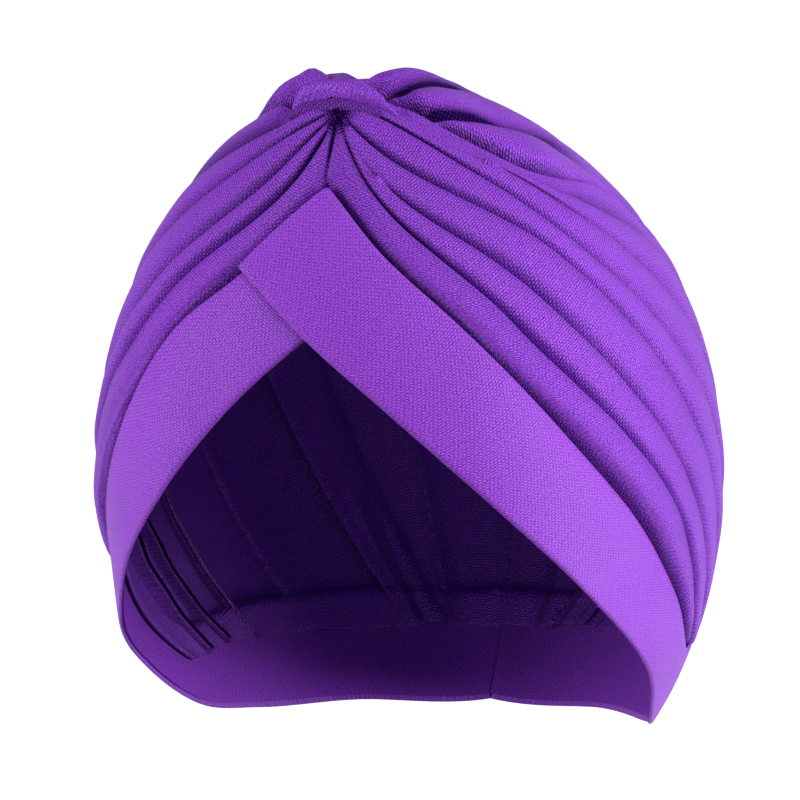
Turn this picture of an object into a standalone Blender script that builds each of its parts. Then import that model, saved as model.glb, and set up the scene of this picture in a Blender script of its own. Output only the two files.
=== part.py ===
"""A slip-on pleated turban of knitted jersey, in the full round shape that it takes when it is worn.

Metres, +Z up. The front is -Y and the turban's left side is +X. The origin is on the inner face of the
crown's middle crease. A direction from the turban's middle is given as (azimuth, elevation) in degrees:
azimuth 0 is the front, 90 the left side and 180 the back.
"""

from collections import namedtuple

import bmesh
import bpy
import numpy as np

MM = 0.001

# How far the finished turban reaches from its middle, and how square its outlines are
HALF_WIDTH = 87.5 * MM
BROW_REACH = 97.0 * MM
NAPE_REACH = 104.0 * MM
CROWN_RISE = 115.0 * MM
LOWER_DROP = 112.0 * MM
PLAN_POWER = 2.15
SIDE_POWER = 1.9
BROW_POWER = 2.5
NAPE_POWER = 2.25

# The knot, where all gathers start, and the bunched cloth that it stands on
KNOT_ELEVATION = 58
GATHER_RISE = 8.0 * MM
GATHER_SPREAD = 13.0

# Cloth, how deep a crease may be beside the width of its pleats, how much a crease rises with the fold below
# it, and the lift in millimetres of the crease that runs over the middle of the crown
JERSEY = 1.6 * MM
BAND_CLOTH = 1.7 * MM
LAYER_GAP = 0.4 * MM
DEEPEST_SHARE = 0.8
PAST_KNOT = 0.045
RAISED_CREASE = 0.45
CROWN_CREASE = -2.0

# The band reaches furthest at the front, turns in at the sides, flares out again low down and laps over
BAND_SIDE_LIFT = -3.4 * MM
BAND_TURNS_IN = (28, 58)
BAND_LOW_SHARE = 0.8
BAND_LOW_FADE = (12, 32)
LAP_LEFT = -14
LAP_RIGHT = 7
LAP_FADE = 12

# Cloth stays under an edge that covers it to some degrees past that edge, then comes out over some more
COVER_HEIGHT = 8.0 * MM
BAND_COVER = (2.0, 4.2)
PLEAT_COVER = (3.0, 9.0)

# The flattened roll of the knot lies just over the gathers and is full in the middle
STRAP_CLEAR = 0.5 * MM
STRAP_EDGE = 1.2 * MM
STRAP_FULL = 3.4 * MM

# Mesh fineness
ROWS_ALONG = 24
EDGE_POINTS = 200
ROWS_BAND = 34
COLUMNS_BAND = 4
ROWS_STRAP = 13
COLUMNS_STRAP = 7
LAST_SHARES = (0.93, 0.952, 0.97, 1.0)
PLEAT_STATIONS = (0.0, 0.2, 0.42, 0.6, 0.78, 0.91)

CLOTH_COLOUR = (0.262, 0.075, 0.584, 1.0)
BAND_COLOUR = (0.238, 0.062, 0.552, 1.0)
CLOTH_ROUGHNESS = 0.62

# Cloth pressed in or pushed up beside the knot: the line that it runs along, how far in millimetres, and
# how many degrees to each side
Touch = namedtuple("Touch", "start end lift spread")
TOUCHES = (
    Touch((-13.6, 57.4), (-13.0, 61.0), -2.6, 2.2),
    Touch((-19, 63.5), (-14, 67), 1.6, 4.0),
    Touch((0.5, 65), (1.5, 72), -1.4, 2.5),
    Touch((-17, 68), (-20, 75), 2.4, 1.8),
    Touch((-6, 75), (0, 80), -2.0, 2.6),
    Touch((128, 72), (118, 58), -3.8, 13.0),
)

# How high cloth bunches in millimetres, and the shares of a fold's length where that starts, is full, starts
# to fall and is gone
Bunch = namedtuple("Bunch", "height start full falls gone")
FLAT = Bunch(0, 0, 1, 2, 3)
ROLL_LOW = Bunch(2.4, 0.05, 0.085, 0.14, 0.21)
ROLL_MIDDLE = Bunch(3.2, 0.03, 0.055, 0.065, 0.15)
ROLL_HIGH = Bunch(3.2, 0.02, 0.05, 0.085, 0.17)
LUMP = Bunch(3.6, 0.03, 0.06, 0.075, 0.14)

# Each fold's lower edge passes five directions. Then come the lift of that edge and of the crest above it
# in millimetres, where the rise starts and crests as shares of the way across, how steeply it starts, how
# the cloth bunches behind the knot, and the shares of its length in which the crease opens.
# A tucked edge lies under the cloth that covers it and has no lift of its own.
TUCKED = None
ALL = (-1.0, 0.0)
Fold = namedtuple("Fold", "start near front side rear edge crest rise_from crest_at steep bunch opens")

RIGHT_FOLDS = (
    Fold((0.3, 54.7), (0.7, 43), (26, 22), (70, -16), (100, -37), TUCKED, 0.0, 0.3, 0.78, 2, FLAT, ALL),
    Fold((0.5, 55), (7, 48.2), (36, 27), (78, -7), (108, -36), -6.0, 0.0, 0.0, 0.7, 2, FLAT, ALL),
    Fold((0.8, 55.3), (8.7, 49), (41, 32), (86, -5), (116, -34), -4.8, 0.0, 0.0, 0.7, 2, FLAT, (0.02, 0.1)),
    Fold((1.1, 55.7), (9, 52.4), (48, 39), (88, 9), (125, -32), -5.2, 0.0, 0.0, 0.7, 2, FLAT, ALL),
    Fold((2.8, 58), (15, 55.2), (50, 43.5), (96, 16), (136, -31), -4.4, 0.0, 0.0, 0.7, 2, FLAT, ALL),
    Fold((5, 59.6), (18, 56), (45, 50.7), (98, 30), (148, -30), -2.6, 0.0, 0.0, 0.7, 2, FLAT, (0.15, 0.3)),
    Fold((6.5, 60.4), (19.6, 57.2), (45, 52), (104, 42), (158, -29), -2.2, 0.0, 0.0, 0.7, 2, FLAT, (0.24, 0.38)),
    Fold((8, 61.2), (21.4, 58.4), (45, 53.4), (90, 54.5), (168, -28.5), -3.0, 0.0, 0.0, 1.0, 1, FLAT, ALL),
)
LEFT_FOLDS = (
    Fold((-0.3, 54.7), (-0.7, 43), (-25, 21.5), (-68, -17), (-100, -37), TUCKED, -0.2, 0.4, 0.8, 1.6, FLAT, ALL),
    Fold((-0.5, 55.1), (-3.6, 48.3), (-31, 31), (-78, -7), (-108, -36), -6.0, 0.2, 0.0, 0.7, 2, FLAT, ALL),
    Fold((-0.8, 55.6), (-8, 48.8), (-36, 34), (-86, -3), (-116, -34), -5.0, 0.0, 0.0, 0.7, 2, FLAT, ALL),
    Fold((-1.2, 56.4), (-9.8, 52.8), (-36, 44), (-90, 11), (-126, -32.5), -4.0, 0.0, 0.0, 0.7, 2, FLAT, ALL),
    Fold((-3.4, 58.4), (-11, 55.5), (-38, 52), (-100, 27), (-142, -30.5), -3.4, 0.0, 0.0, 0.66, 2, FLAT, ALL),
    Fold((-6, 60), (-16, 60), (-45, 61), (-112, 52), (-168, -28.5), -2.6, 0.0, 0.0, 1.0, 1, FLAT, ALL),
)
RIGHT_CROWN = (
    Fold((7, 60.4), (20, 55.6), (43, 49.6), (90, 50), (161, -29), TUCKED, 0.0, 0.1, 0.42, 2, ROLL_LOW, ALL),
    Fold((6.6, 61.1), (18.5, 58.6), (42, 61.8), (90, 62), (166, -29), -1.8, 0.2, 0.0, 0.42, 2, ROLL_MIDDLE, ALL),
    Fold((4.8, 61.7), (12.2, 61.8), (28, 70.5), (90, 79), (172, -29), -1.4, 0.2, 0.0, 0.42, 2, ROLL_HIGH, ALL),
    Fold((0, 60.6), (0, 68), (0, 82), (180, 56), (180, -29), CROWN_CREASE, 0.0, 0.0, 1.0, 1, FLAT, ALL),
)
LEFT_CROWN = (
    Fold((-5, 59.6), (-9, 57), (-40, 56), (-106, 45), (-161, -29), TUCKED, -0.6, 0.3, 0.66, 2, LUMP, ALL),
    Fold((-3, 60.6), (-11.5, 68), (-45, 75), (-140, 62), (-170, -29), -2.6, -0.6, 0.0, 0.42, 2, FLAT, ALL),
    Fold((0, 60.6), (0, 68), (0, 82), (180, 56), (180, -29), CROWN_CREASE, 0.0, 0.0, 1.0, 1, FLAT, ALL),
)

# The band's two edges, from the back to the end that crosses the front
BandRow = namedtuple("BandRow", "hem top")
RIGHT_BAND = (
    BandRow((179.8, -42), (179.8, -23)),
    BandRow((150, -43), (150, -24)),
    BandRow((122, -45.5), (122, -27.5)),
    BandRow((100, -45), (101, -31)),
    BandRow((76, -33.5), (82, -20)),
    BandRow((50, -16.5), (62, -4)),
    BandRow((32.5, -2.5), (44, 11)),
    BandRow((14.5, 13), (26, 26.5)),
    BandRow((0.5, 24), (13, 36.5)),
    BandRow((-13.5, 34.5), (2.3, 45.5)),
)
LEFT_BAND = (
    BandRow((-179.8, -42), (-179.8, -23)),
    BandRow((-150, -43), (-150, -24)),
    BandRow((-122, -45.5), (-122, -27.5)),
    BandRow((-100, -45), (-101, -31)),
    BandRow((-74, -34), (-80, -20)),
    BandRow((-46, -17), (-58, -4)),
    BandRow((-29, -3), (-41.5, 10)),
    BandRow((-14.5, 12.5), (-26, 25.5)),
    BandRow((-1, 23.5), (-12, 35.5)),
    BandRow((5, 27.5), (-5, 40.5)),
)

# The roll of the knot bridges the gathers from the left side to the right. Its two edges are given
StrapRow = namedtuple("StrapRow", "low top")
STRAP_ROWS = (
    StrapRow((-12.4, 56.9), (-12.4, 60.2)),
    StrapRow((-7.5, 56.4), (-7.8, 61.4)),
    StrapRow((-1, 56.1), (-1, 62.8)),
    StrapRow((4, 56.1), (4.5, 63)),
    StrapRow((8.5, 56.2), (9.6, 61.2)),
    StrapRow((12.5, 56.2), (13.2, 58.9)),
    StrapRow((16.4, 55.8), (16.8, 56.8)),
)


def clear_scene():
    for old in list(bpy.data.objects):
        bpy.data.objects.remove(old, do_unlink=True)


def ray(azimuth, elevation):
    azimuth, elevation = np.radians(azimuth), np.radians(elevation)
    level = np.cos(elevation)
    return np.array([np.sin(azimuth) * level, -np.cos(azimuth) * level, np.sin(elevation)])


def unit(rays):
    return rays / np.linalg.norm(rays, axis=-1, keepdims=True)


def azimuth_of(rays):
    return np.degrees(np.arctan2(rays[..., 0], -rays[..., 1]))


def fade(value, start, end):
    """0 before start, 1 past end, and smooth between them."""
    share = np.clip((value - start) / (end - start), 0, 1)
    return share * share * (3 - 2 * share)


def form_reach(rays):
    """How far the finished turban reaches along each direction."""
    x, y, z = rays[..., 0], rays[..., 1], rays[..., 2]
    level = np.hypot(x, y) + 1e-9
    to_brow = y < 0
    length = np.where(to_brow, BROW_REACH, NAPE_REACH)
    across, along = np.abs(x) / level / HALF_WIDTH, np.abs(y) / level / length
    plan = (across**PLAN_POWER + along**PLAN_POWER) ** (-1 / PLAN_POWER)
    end_power = np.where(to_brow, BROW_POWER, NAPE_POWER)
    above = SIDE_POWER + (end_power - SIDE_POWER) * (y / level) ** 2
    power = np.where(z > 0, above, 2.0)
    height = np.where(z > 0, CROWN_RISE, LOWER_DROP)
    reach = ((level / plan) ** power + (np.abs(z) / height) ** power) ** (-1 / power)
    turn = np.degrees(np.arccos(np.clip(rays @ ray(0, KNOT_ELEVATION), -1, 1)))
    return reach + GATHER_RISE * np.exp(-((turn / GATHER_SPREAD) ** 2)) + touched(rays)


def touched(rays):
    """How far the cloth is pressed in or pushed up at each direction."""
    total = np.zeros(rays.shape[:-1])
    for touch in TOUCHES:
        line = edge_line([touch.start, touch.end])
        off = np.degrees(np.arccos(np.clip((rays @ line.T).max(axis=-1), -1, 1)))
        total += touch.lift * MM * np.exp(-((off / touch.spread) ** 2))
    return total


# The inner face of the crown's middle crease is at the origin
FORM_MIDDLE = np.array([0.0, 0.0, -(CROWN_RISE + CROWN_CREASE * MM - JERSEY)])


def place(rays, lift):
    return FORM_MIDDLE + rays * (form_reach(rays) + lift)[..., None]


def sweep(stations, shares):
    """A smooth curve through directions, read at shares of its length."""
    knots = np.array(stations)
    spans = np.linalg.norm(np.diff(knots, axis=0), axis=1)
    at = np.concatenate([[0], np.cumsum(spans)])
    slopes = np.gradient(knots, at, axis=0)
    fine = np.linspace(0, at[-1], 240)
    step = np.clip(np.searchsorted(at, fine, side="right") - 1, 0, len(spans) - 1)
    t = ((fine - at[step]) / spans[step])[:, None]
    width = spans[step][:, None]
    curve = (
        (2 * t**3 - 3 * t**2 + 1) * knots[step]
        + (t**3 - 2 * t**2 + t) * width * slopes[step]
        + (3 * t**2 - 2 * t**3) * knots[step + 1]
        + (t**3 - t**2) * width * slopes[step + 1]
    )
    curve = unit(curve)
    run = np.concatenate([[0], np.cumsum(np.linalg.norm(np.diff(curve, axis=0), axis=1))])
    wanted = np.asarray(shares) * run[-1]
    return unit(np.stack([np.interp(wanted, run, curve[:, axis]) for axis in range(3)], axis=1))


def lap_share(rays):
    """1 where the two ends of the band cross at the front, fading to 0 beside them."""
    azimuth = azimuth_of(rays)
    enters = fade(azimuth, LAP_LEFT - LAP_FADE, LAP_LEFT)
    leaves = fade(azimuth, LAP_RIGHT, LAP_RIGHT + LAP_FADE)
    return enters * (1 - leaves)


def band_lift(rays):
    """The lift of the band's outer face."""
    below = -np.degrees(np.arcsin(rays[..., 2]))
    flare = 1 - BAND_LOW_SHARE * fade(below, *BAND_LOW_FADE)
    return BAND_SIDE_LIFT * fade(np.abs(azimuth_of(rays)), *BAND_TURNS_IN) * flare


def lower_layer(rays):
    """How far the band's left end is sunk, to pass under the right end."""
    return (BAND_CLOTH + LAYER_GAP) * lap_share(rays)


def behind_band(rays):
    """The highest that cloth may lie behind the band."""
    return band_lift(rays) - lower_layer(rays) - BAND_CLOTH - LAYER_GAP


def past_edge(edge, rays):
    """How many degrees each direction lies past an edge, on the side of the crown."""
    outward = np.cross(edge, np.gradient(edge, axis=0))
    outward = outward * np.sign(outward[:, 2].sum())
    nearness = rays @ edge.T
    nearest = nearness.argmax(axis=-1)
    side = np.sign((outward[nearest] * rays).sum(axis=-1))
    return side * np.degrees(np.arccos(np.clip(nearness.max(axis=-1), -1, 1)))


def cover_limit(edge, rays, under, clear, rise):
    """The highest that cloth may lie near an edge that covers it."""
    out = np.clip((past_edge(edge, rays) - clear) / rise, 0, 1)
    return under + COVER_HEIGHT * np.sin(out * np.pi / 2)


def edge_line(stations):
    return sweep([ray(*station) for station in stations], np.linspace(0, 1, EDGE_POINTS))


def band_top(side):
    """The edge of the band that shows beside the pleats. On the right half's end it turns down the lap."""
    if side > 0:
        return edge_line([row.top for row in RIGHT_BAND])
    lap = RIGHT_BAND[-1]
    return edge_line([row.top for row in LEFT_BAND[:-2]] + [lap.hem, lap.top])


def below_band(side, rays):
    return cover_limit(band_top(side), rays, behind_band(rays), *BAND_COVER)


def cross_profile(share, fold, edge, next_edge, crest):
    """Lift across one fold: a full rise from its lower edge to the crest, then a quick turn under."""
    if share <= fold.crest_at:
        rise = np.clip((share - fold.rise_from) / (fold.crest_at - fold.rise_from), 0, 1)
        return edge + (crest - edge) * (1 - (1 - rise) ** fold.steep)
    fall = (share - fold.crest_at) / (1 - fold.crest_at)
    return crest + (next_edge - crest) * fall**2


def fold_edges(folds, shares):
    edges = []
    for fold in folds:
        stations = (fold.start, fold.near, fold.front, fold.side, fold.rear)
        edges.append(sweep([ray(*station) for station in stations], shares))
    return edges


def fold_widths(edges):
    level = np.zeros(len(edges[0]))
    places = [place(edge, level) for edge in edges]
    return [np.linalg.norm(low - high, axis=1) for low, high in zip(places, places[1:])]


def edge_lifts(folds, edges, crests, shares, tucked_lift):
    """The lift along each fold's lower edge. It is shallow where its pleats are narrow, raised between bunched
    folds, and hardly there where its crease hasn't opened yet."""
    widths = fold_widths(edges)
    lifts = []
    for number, (fold, rays) in enumerate(zip(folds, edges)):
        if fold.edge is TUCKED:
            lifts.append(tucked_lift(rays))
            continue
        shut = crests[number - 1]
        narrowest = np.min(widths[number - 1 : number + 1], axis=0)
        raised = RAISED_CREASE * np.maximum(shut, 0) * (number < len(folds) - 1)
        higher = np.maximum(shut, crests[number])
        deep = np.maximum(fold.edge * MM + raised, higher - DEEPEST_SHARE * narrowest)
        lifts.append(np.minimum(shut + (deep - shut) * fade(shares, *fold.opens), shut))
    return lifts


def bunched(bunch, shares):
    return bunch.height * fade(shares, bunch.start, bunch.full) * (1 - fade(shares, bunch.falls, bunch.gone))


def along_shares():
    first = np.linspace(0, LAST_SHARES[0], ROWS_ALONG - len(LAST_SHARES) + 1)
    return np.concatenate([first, LAST_SHARES[1:]])


def gathered_cloth(folds, tucked_lift, start_lift):
    """Rays and lifts of a sheet of folds that fan out from the knot, as rows along by columns across."""
    shares = along_shares()
    edges = fold_edges(folds, shares)
    past_knot = fade(shares, 0, PAST_KNOT)
    crests = [(fold.crest + bunched(fold.bunch, shares)) * MM for fold in folds]
    lifts = edge_lifts(folds, edges, crests, shares, tucked_lift)
    ray_columns, lift_columns = [], []
    for number, fold in enumerate(folds[:-1]):
        for share in PLEAT_STATIONS:
            rays = unit((1 - share) * edges[number] + share * edges[number + 1])
            lift = cross_profile(share, fold, lifts[number], lifts[number + 1], crests[number])
            ray_columns.append(rays)
            lift_columns.append(start_lift + (lift - start_lift) * past_knot)
    ray_columns.append(edges[-1])
    lift_columns.append(start_lift + (lifts[-1] - start_lift) * past_knot)
    return np.stack(ray_columns, axis=1), np.stack(lift_columns, axis=1)


def side_panel(folds, side):
    rays, lift = gathered_cloth(folds, behind_band, 0.0)
    return rays, np.minimum(lift, below_band(side, rays))


def below_side_panel(folds, side, rays):
    """The highest that the crown cloth may lie beside a side panel's upper edge."""
    panel = np.minimum(folds[-1].edge * MM, below_band(side, rays))
    last = folds[-1]
    edge = edge_line([last.start, last.near, last.front, last.side, last.rear])
    return cover_limit(edge, rays, panel - JERSEY - LAYER_GAP, *PLEAT_COVER)


def crown_panel():
    """Two halves, each from its side up to the middle crease, joined there into one sheet."""
    start_lift = LEFT_FOLDS[-1].edge * MM - JERSEY - LAYER_GAP
    halves = []
    for side, folds, panel in ((-1, LEFT_CROWN, LEFT_FOLDS), (1, RIGHT_CROWN, RIGHT_FOLDS)):
        rays, lift = gathered_cloth(folds, lambda edge: np.full(len(edge), start_lift), start_lift)
        limit = np.minimum(below_side_panel(panel, side, rays), below_band(side, rays))
        halves.append((rays, np.minimum(lift, limit)))
    left, right = halves
    return tuple(np.concatenate([low, high[:, -2::-1]], axis=1) for low, high in zip(left, right))


def band(rows, sunk):
    shares = np.linspace(0, 1, ROWS_BAND)
    hem = sweep([ray(*row.hem) for row in rows], shares)
    top = sweep([ray(*row.top) for row in rows], shares)
    across = np.linspace(0, 1, COLUMNS_BAND + 1)[None, :, None]
    rays = unit((1 - across) * hem[:, None] + across * top[:, None])
    return rays, band_lift(rays) - (lower_layer(rays) if sunk else 0)


def cloth_material(name, colour):
    material = bpy.data.materials.new(name)
    material.use_nodes = True
    shader = material.node_tree.nodes["Principled BSDF"]
    shader.inputs["Base Color"].default_value = colour
    shader.inputs["Roughness"].default_value = CLOTH_ROUGHNESS
    shader.inputs["Metallic"].default_value = 0.0
    return material


def add_cloth(name, rays, lift, thickness, colour, collection):
    """A flat grid, thickened by extruding it, whose two faces are then laid on the turban's round form."""
    rows, columns = lift.shape
    mesh = bpy.data.meshes.new(name)
    form = bmesh.new()
    bmesh.ops.create_grid(form, x_segments=columns - 1, y_segments=rows - 1, size=0.5)
    lower = bmesh.ops.extrude_face_region(form, geom=form.faces[:], use_keep_orig=True)
    under = {item for item in lower["geom"] if isinstance(item, bmesh.types.BMVert)}
    inner_lift = lift - thickness
    outer_points, inner_points = place(rays, lift), place(rays, inner_lift)
    for vert in form.verts:
        column = round((vert.co.x + 0.5) * (columns - 1))
        row = round((vert.co.y + 0.5) * (rows - 1))
        vert.co = (inner_points if vert in under else outer_points)[row, column]
    bmesh.ops.recalc_face_normals(form, faces=form.faces)
    if form.calc_volume(signed=True) < 0:
        bmesh.ops.reverse_faces(form, faces=form.faces)
    form.to_mesh(mesh)
    form.free()
    mesh.shade_smooth()
    mesh.set_sharp_from_angle(angle=np.radians(50))
    cloth = bpy.data.objects.new(name, mesh)
    cloth.data.materials.append(cloth_material(name + " jersey", colour))
    collection.objects.link(cloth)


def knot_strap():
    """Rays, outer lift and thickness of the roll, which tapers to both ends and rounds off at its edges."""
    along = np.linspace(0, 1, ROWS_STRAP)
    across = np.linspace(0, 1, COLUMNS_STRAP + 1)
    low = sweep([ray(*row.low) for row in STRAP_ROWS], along)
    top = sweep([ray(*row.top) for row in STRAP_ROWS], along)
    rays = unit((1 - across)[None, :, None] * low[:, None] + across[None, :, None] * top[:, None])
    full = np.sqrt(np.outer(np.sin(np.pi * along), np.sin(np.pi * across)).clip(0))
    thickness = STRAP_EDGE + (STRAP_FULL - STRAP_EDGE) * full
    return rays, STRAP_CLEAR + thickness - touched(rays), thickness


def build():
    clear_scene()
    turban = bpy.data.collections.new("turban")
    bpy.context.scene.collection.children.link(turban)
    add_cloth("side_pleats_right", *side_panel(RIGHT_FOLDS, 1), JERSEY, CLOTH_COLOUR, turban)
    add_cloth("side_pleats_left", *side_panel(LEFT_FOLDS, -1), JERSEY, CLOTH_COLOUR, turban)
    add_cloth("crown_cloth", *crown_panel(), JERSEY, CLOTH_COLOUR, turban)
    add_cloth("brow_band_right", *band(RIGHT_BAND, False), BAND_CLOTH, BAND_COLOUR, turban)
    add_cloth("brow_band_left", *band(LEFT_BAND, True), BAND_CLOTH, BAND_COLOUR, turban)
    add_cloth("knot_strap", *knot_strap(), CLOTH_COLOUR, turban)


build()
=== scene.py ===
import math
from collections import namedtuple

import bpy
import numpy as np
from mathutils import Matrix, Vector


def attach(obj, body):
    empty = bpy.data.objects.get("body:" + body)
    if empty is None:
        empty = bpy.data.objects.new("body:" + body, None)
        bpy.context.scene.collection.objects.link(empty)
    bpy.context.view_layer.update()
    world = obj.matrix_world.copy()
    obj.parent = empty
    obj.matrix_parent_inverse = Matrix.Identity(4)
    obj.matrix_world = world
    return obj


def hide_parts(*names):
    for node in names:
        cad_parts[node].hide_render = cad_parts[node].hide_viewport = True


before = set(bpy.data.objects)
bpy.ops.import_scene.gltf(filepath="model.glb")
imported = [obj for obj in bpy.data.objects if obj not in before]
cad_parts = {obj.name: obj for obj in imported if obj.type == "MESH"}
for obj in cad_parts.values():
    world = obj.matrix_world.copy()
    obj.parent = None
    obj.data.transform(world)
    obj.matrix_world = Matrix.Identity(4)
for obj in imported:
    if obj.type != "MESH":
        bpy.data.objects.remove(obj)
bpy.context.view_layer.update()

MM = 0.001

# The finished turban's round form, as the solids have it. A power of 2 gives a round curve, and more gives
# a fuller one.
HALF_WIDTH = 87.5 * MM
BROW_REACH = 97.0 * MM
NAPE_REACH = 104.0 * MM
CROWN_RISE = 115.0 * MM
LOWER_DROP = 112.0 * MM
PLAN_POWER = 2.15
SIDE_POWER = 1.9
BROW_POWER = 2.5
NAPE_POWER = 2.25
LOWER_POWER = 2.0
FORM_MIDDLE = np.array([0.0, 0.0, -111.4 * MM])

# The form stands higher round the knot, in metres and in degrees to each side
KNOT_ELEVATION = 58
GATHER_RISE = 8.0 * MM
GATHER_SPREAD = 13.0

# Thickness of the jersey, of the band where it is folded double, and of the solids' jersey, and the gap
# that sewn layers keep
JERSEY = 1.2 * MM
BAND_CLOTH = 1.7 * MM
SOLID_JERSEY = 1.6 * MM
LAYER_GAP = 0.4 * MM

# The band turns in at the sides and flares out again low down, and its right half laps over the left half
# at the front. Places are in degrees.
BAND_SIDE_LIFT = -3.4 * MM
BAND_TURNS_IN = (28, 58)
BAND_LOW_SHARE = 0.8
BAND_LOW_FADE = (12, 32)
LAP_STARTS = (-26, -14)
LAP_ENDS = (7, 19)

# The soft round fold at both edges of the band: how far in it starts and how far it drops. The band's face
# is a little uneven.
FOLD_WIDTH = 1.6 * MM
FOLD_DROP = 0.9 * MM
BAND_UNEVEN = 0.2 * MM
BAND_ROWS = 240
BAND_COLUMNS = 36

# Cloth that goes in under an edge stays below it up to the first number of degrees past the edge, and may
# rise by the cover height over the second. COVER_SOFT rounds the place where it comes free.
COVER_HEIGHT = 12.0 * MM
BAND_COVER = (0.3, 4.8)
PLEAT_COVER = (0.3, 2.4)
COVER_SOFT = 1.1 * MM

# Jersey that is pulled in under an edge gets painted shade there, for the shadow of the edge, and fully so
# where it is held down by the larger of these heights
EDGE_SHADOW_HEIGHTS = (0.3 * MM, 4.0 * MM)
PLEAT_EDGE_SHADOW = 0.25
CROWN_EDGE_SHADOW = 0.8

# The dark line of painted shade between the band and the first pleat, and the degrees past the band over
# which it fades
BAND_LINE_DARK = 0.85
BAND_LINE = (0.3, 1.3)

# The rows of a gathered piece lie closer over the first share of its length, and its columns lie closer
# towards each crease. It leaves the knot's own height over PAST_KNOT of its length.
ROWS_ALONG = 225
ROWS_NEAR_KNOT = 60
NEAR_KNOT = 0.16
NEAR_KNOT_BIAS = 1.2
FLANK_COLUMNS = 23
FLANK_BIAS = 1.35
PAST_KNOT = 0.03

# A pleat's face sags by this share of the pleat's depth on the right (1) and the left (-1). Then its lip
# rolls under through these angles, from the face to the next crease. The lip is as wide as its reach or a
# share of the pleat, whichever is less, and it is fully rolled from FULL_LIP of depth.
CREST_SAG = {1: 0.1, -1: 0.14}
LIP_ANGLES = np.radians((74, 52, 30, 8, -14, -36, -60))
LIP_REACH = 2.0 * MM
LIP_SHARE = 0.25
FULL_LIP = 1.5 * MM

# A crease counts as deep, for its painted shade, from this depth on, or from this share of a narrow pleat's
# width. Its dark line of painted shade fades between two distances from its bottom. A crease that hasn't
# opened is nearly level with its pleats, and between bunched folds a crease is raised by a share of their
# height. The lower margins of the first pleats lie no higher than MARGIN_LIFT.
DEEP_CREASE = 2.5 * MM
DEEP_SHARE = 0.3
LEAST_DEPTH = 0.1 * MM
CREASE_LINE = (0.4 * MM, 1.7 * MM)
SHUT_CREASE = 0.02 * MM
RAISED_CREASE = 0.45
MARGIN_LIFT = -1.6 * MM

# How unevenly the crests lie, in millimetres, from where on, and the creases, as a share of their depth
CREST_UNEVEN = 0.35
UNEVEN_FROM = (0.1, 0.3)
CREASE_UNEVEN = 0.12

# Painted shade: the gathers are black at the knot and a little dark round it, fading over shares of their
# length. A pleat's flank gets painted shade far up near the knot and less far later on, so it has two
# powers.
# Past its crest and under its lip a pleat gets painted shade too. The crown's flanks get darker painted
# shade, and by CROWN_CLEARS less of it towards the back. Its loose folds sink with a power of LOOSE_FALL.
KNOT_FADES = (0.002, 0.024)
GATHER_DARK = 0.14
GATHER_FADES = (0.05, 0.24)
FLANK_POWERS = (0.45, 1.2)
FLANK_FADES = (0.06, 0.4)
PAST_CREST_DARK = 0.25
LIP_DARK = 0.8
LIP_DARK_ABOVE = 0.3
LIP_FADES = (0.03, 0.12)
CROWN_FLANK_DARK = 2.2
CROWN_CLEARS = 0.75
CROWN_FADES = (0.17, 0.34)
LOOSE_FALL = 1.8

# Cloth pressed in or pushed up beside the knot and at the upper back: the line that it runs along, how far
# in millimetres, and how many degrees to each side
Touch = namedtuple("Touch", "start end lift spread")
TOUCHES = (
    Touch((-13.6, 57.4), (-13.0, 61.0), -3.6, 1.3),
    Touch((-19, 63.5), (-14, 67), 1.6, 4.0),
    Touch((0.5, 65), (1.5, 72), -1.4, 2.5),
    Touch((-17, 68), (-20, 75), 2.4, 1.8),
    Touch((-6, 75), (0, 80), -2.0, 2.6),
    Touch((128, 72), (118, 58), -3.8, 13.0),
    Touch((-12, 61.3), (4, 64.2), -1.4, 1.2),
    Touch((4, 64.2), (15, 58.6), -1.4, 1.2),
)

# How high cloth bunches in millimetres, and the shares of a fold's length where that starts, is full,
# starts to fall and is gone
Bunch = namedtuple("Bunch", "height start full falls gone")
FLAT = Bunch(0, 0, 1, 2, 3)
ROLL_LOW = Bunch(2.6, 0.05, 0.085, 0.17, 0.25)
ROLL_MIDDLE = Bunch(3.2, 0.03, 0.055, 0.065, 0.15)
ROLL_HIGH = Bunch(3.2, 0.02, 0.05, 0.085, 0.17)
LUMP = Bunch(3.6, 0.03, 0.06, 0.075, 0.14)

# Each fold's lower edge passes five directions, in degrees of azimuth and elevation. Then come the lift of
# that edge and of the crest above it in millimetres, where the crest lies as a share of the way across, how
# steeply the cloth starts to rise to it, how it bunches behind the knot, where it starts to rise, the
# shares of its length in which its crease opens, and how dark the painted shade on its flank is. The last
# row is the upper edge alone.
TUCKED = None
ALL_ALONG = (-1.0, 0.0)
Fold = namedtuple(
    "Fold",
    "start near front side rear edge crest crest_at steep bunch rise_from opens dark",
    defaults=(0.0, 1.0, 1, FLAT, 0.0, ALL_ALONG, 1.0),
)
RIGHT_FOLDS = (
    Fold((1.9, 53.8), (1.2, 44.5), (26, 22), (70, -16), (100, -37), TUCKED, 0.0, 0.62, 2, dark=0.0),
    Fold((2.0, 54.2), (7.4, 47.9), (36, 27), (78, -7), (108, -36), -7.0, 0.0, 0.42, 4),
    Fold((2.0, 54.6), (8.9, 48.8), (41, 32), (86, -5), (116, -34), -6.0, 0.0, 0.42, 4, opens=(0.03, 0.16)),
    Fold((2.0, 55.2), (8.9, 52), (48, 39), (88, 9), (125, -32), -6.6, 0.0, 0.42, 4),
    Fold((2.6, 57.6), (14.2, 55.3), (50, 43.5), (96, 16), (136, -31), -5.8, 0.0, 0.42, 3.4),
    Fold((5, 59.6), (18, 56), (45, 50.7), (98, 30), (148, -30), -4.0, 0.0, 0.42, 3.4, opens=(0.1, 0.22)),
    Fold(
        (6.5, 60.4), (19.6, 57.2), (45, 52), (104, 42), (158, -29),
        -3.4, 0.0, 0.72, 2.4, opens=(0.15, 0.28),
    ),
    Fold((8, 61.2), (21.4, 58.4), (45, 53.4), (90, 54.5), (168, -28.5), -3.4),
)
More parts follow.
